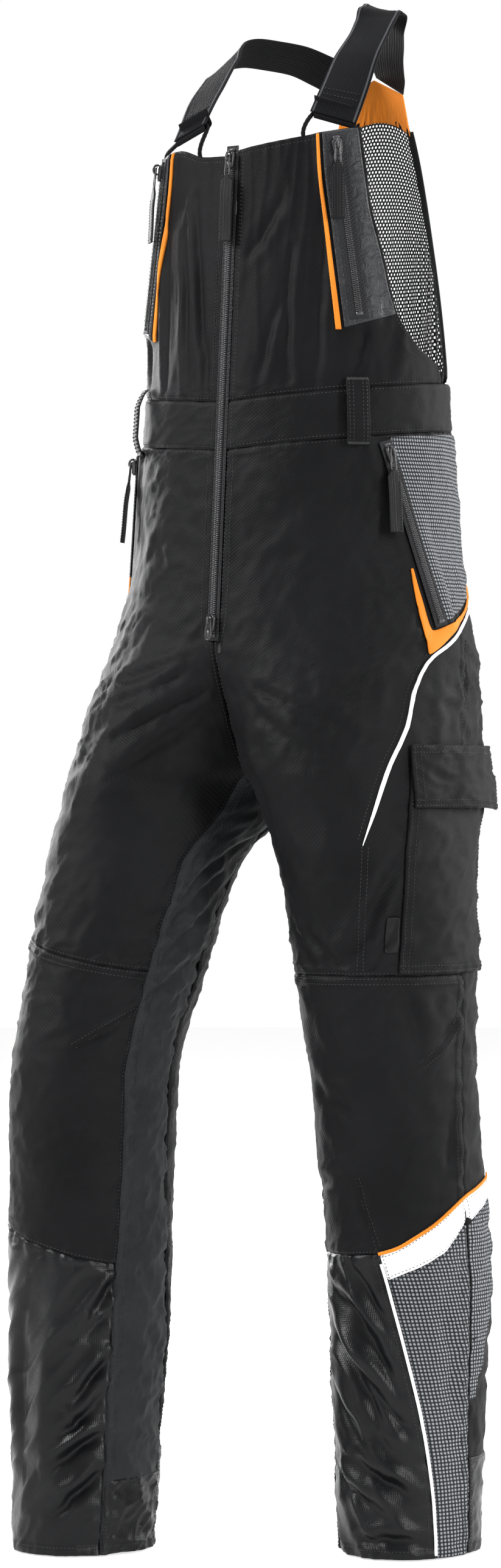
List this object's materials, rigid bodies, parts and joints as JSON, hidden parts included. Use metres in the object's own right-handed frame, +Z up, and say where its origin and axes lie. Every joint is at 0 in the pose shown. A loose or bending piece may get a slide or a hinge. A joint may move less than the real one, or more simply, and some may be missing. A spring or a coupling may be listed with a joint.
{
  "type": "bib-and-brace work overalls",
  "caption": "Cut-protection bib-and-brace overalls standing as worn: elastic braces, mesh back, zipped bib, side and cargo pockets, shaped knees, long legs.",
  "frame": {"origin": "between the tops of the two braces, where the shoulders carry them, on the vertical line midway between the legs", "axes": "+Z up along the wearer, -Y to the wearer's front, +X to the wearer's left"},
  "size_m": [0.3977, 0.3624, 1.4211],
  "materials": {
    "shell": "matt black woven cloth",
    "stretch": "dark grey stretch cloth",
    "nylon": "slightly shiny crinkled nylon",
    "woven": "mottled grey abrasion-resistant weave",
    "orange": "matt orange cloth",
    "white": "reflective tape",
    "webbing": "ribbed elastic",
    "mesh": "open hexagonal mesh",
    "zip": "zip tape and plastic chain",
    "slider": "black moulded plastic and lacquered slider",
    "padding": "loose cut-resistant fibres, pale"
  },
  "bodies": {
    "garment": {"front_panel_left": "shell", "back_leg_left": "shell", "inner_leg_left": "stretch", "knee_panel_left": "shell", "cut_pad_left": "padding", "shin_panel_left": "nylon", "bib_front_left": "shell", "chest_pocket_left": "nylon", "chest_piping_left": "orange", "brace_left": "webbing", "brace_loop_left": "webbing", "side_pocket_left": "woven", "pocket_trim_left": "orange", "front_panel_right": "shell", "back_leg_right": "shell", "inner_leg_right": "stretch", "knee_panel_right": "shell", "cut_pad_right": "padding", "shin_panel_right": "nylon", "bib_front_right": "shell", "chest_pocket_right": "nylon", "chest_piping_right": "orange", "brace_right": "webbing", "brace_loop_right": "webbing", "side_pocket_right": "woven", "pocket_trim_right": "orange", "reflective_band_left": "white", "shin_side_left": "woven", "waistband": "shell", "back_mesh": "mesh", "back_yoke": "orange", "thigh_piping_left": "white", "knee_piping_left": "orange", "shin_piping_left": "white", "cargo_pocket": "shell", "label_tab": "slider", "belt_loop_front_left": "shell", "belt_loop_front_right": "shell", "belt_loop_back_left": "shell", "belt_loop_back_right": "shell", "belt_loop_back_centre": "shell", "main_zip": "zip", "chest_left_zip": "zip", "chest_right_zip": "zip", "side_left_zip": "zip", "side_right_zip": "zip"},
    "main_runner": {"main_slider": "slider"},
    "main_tag": {"main_pull": "slider"},
    "fly_runner": {"fly_slider": "slider"},
    "fly_tag": {"fly_pull": "slider"},
    "chest_left_runner": {"chest_left_slider": "slider"},
    "chest_left_tag": {"chest_left_pull": "slider"},
    "chest_right_runner": {"chest_right_slider": "slider"},
    "chest_right_tag": {"chest_right_pull": "slider"},
    "side_left_runner": {"side_left_slider": "slider"},
    "side_left_tag": {"side_left_pull": "slider"},
    "side_right_runner": {"side_right_slider": "slider"},
    "side_right_tag": {"side_right_pull": "slider"},
    "flap": {"cargo_flap": "shell"}
  },
  "joints": [
    {"name": "main_zip_slide", "type": "slide", "parent": "garment", "child": "main_runner", "axis": [0, -0.0691, -0.9976], "range_m": [0, 0.218]},
    {"name": "main_pull_swing", "type": "hinge", "parent": "main_runner", "child": "main_tag", "pos_m": [0, -0.10837, -0.14367], "axis": [-1, 0, 0], "range_deg": [0, 150]},
    {"name": "fly_zip_slide", "type": "slide", "parent": "garment", "child": "fly_runner", "axis": [0, 0.0691, 0.9976], "range_m": [0, 0.18]},
    {"name": "fly_pull_swing", "type": "hinge", "parent": "fly_runner", "child": "fly_tag", "pos_m": [0, -0.13773, -0.56773], "axis": [-1, 0, 0], "range_deg": [0, 150]},
    {"name": "chest_zip_left_slide", "type": "slide", "parent": "garment", "child": "chest_left_runner", "axis": [0.1468, 0.0159, -0.989], "range_m": [0, 0.126]},
    {"name": "chest_left_pull_swing", "type": "hinge", "parent": "chest_left_runner", "child": "chest_left_tag", "pos_m": [0.10276, -0.08051, -0.13702], "axis": [-0.7703, -0.6376, 0], "range_deg": [0, 120]},
    {"name": "chest_zip_right_slide", "type": "slide", "parent": "garment", "child": "chest_right_runner", "axis": [-0.1485, 0.0191, -0.9887], "range_m": [0, 0.126]},
    {"name": "chest_right_pull_swing", "type": "hinge", "parent": "chest_right_runner", "child": "chest_right_tag", "pos_m": [-0.10361, -0.0808, -0.14504], "axis": [-0.7706, 0.6374, 0], "range_deg": [0, 120]},
    {"name": "side_zip_left_slide", "type": "slide", "parent": "garment", "child": "side_left_runner", "axis": [0.2074, 0.2158, -0.9542], "range_m": [0, 0.142]},
    {"name": "side_left_pull_swing", "type": "hinge", "parent": "side_left_runner", "child": "side_left_tag", "pos_m": [0.14849, -0.05911, -0.41584], "axis": [-0.4098, -0.9122, 0], "range_deg": [0, 150]},
    {"name": "side_zip_right_slide", "type": "slide", "parent": "garment", "child": "side_right_runner", "axis": [-0.2091, 0.1767, -0.9618], "range_m": [0, 0.142]},
    {"name": "side_right_pull_swing", "type": "hinge", "parent": "side_right_runner", "child": "side_right_tag", "pos_m": [-0.14849, -0.05939, -0.41576], "axis": [-0.4095, 0.9123, 0], "range_deg": [0, 150]},
    {"name": "cargo_flap_lift", "type": "hinge", "parent": "garment", "child": "flap", "pos_m": [0.19128, 0.00645, -0.68172], "axis": [0.0961, -0.9954, 0.0049], "range_deg": [0, 110]}
  ]
}
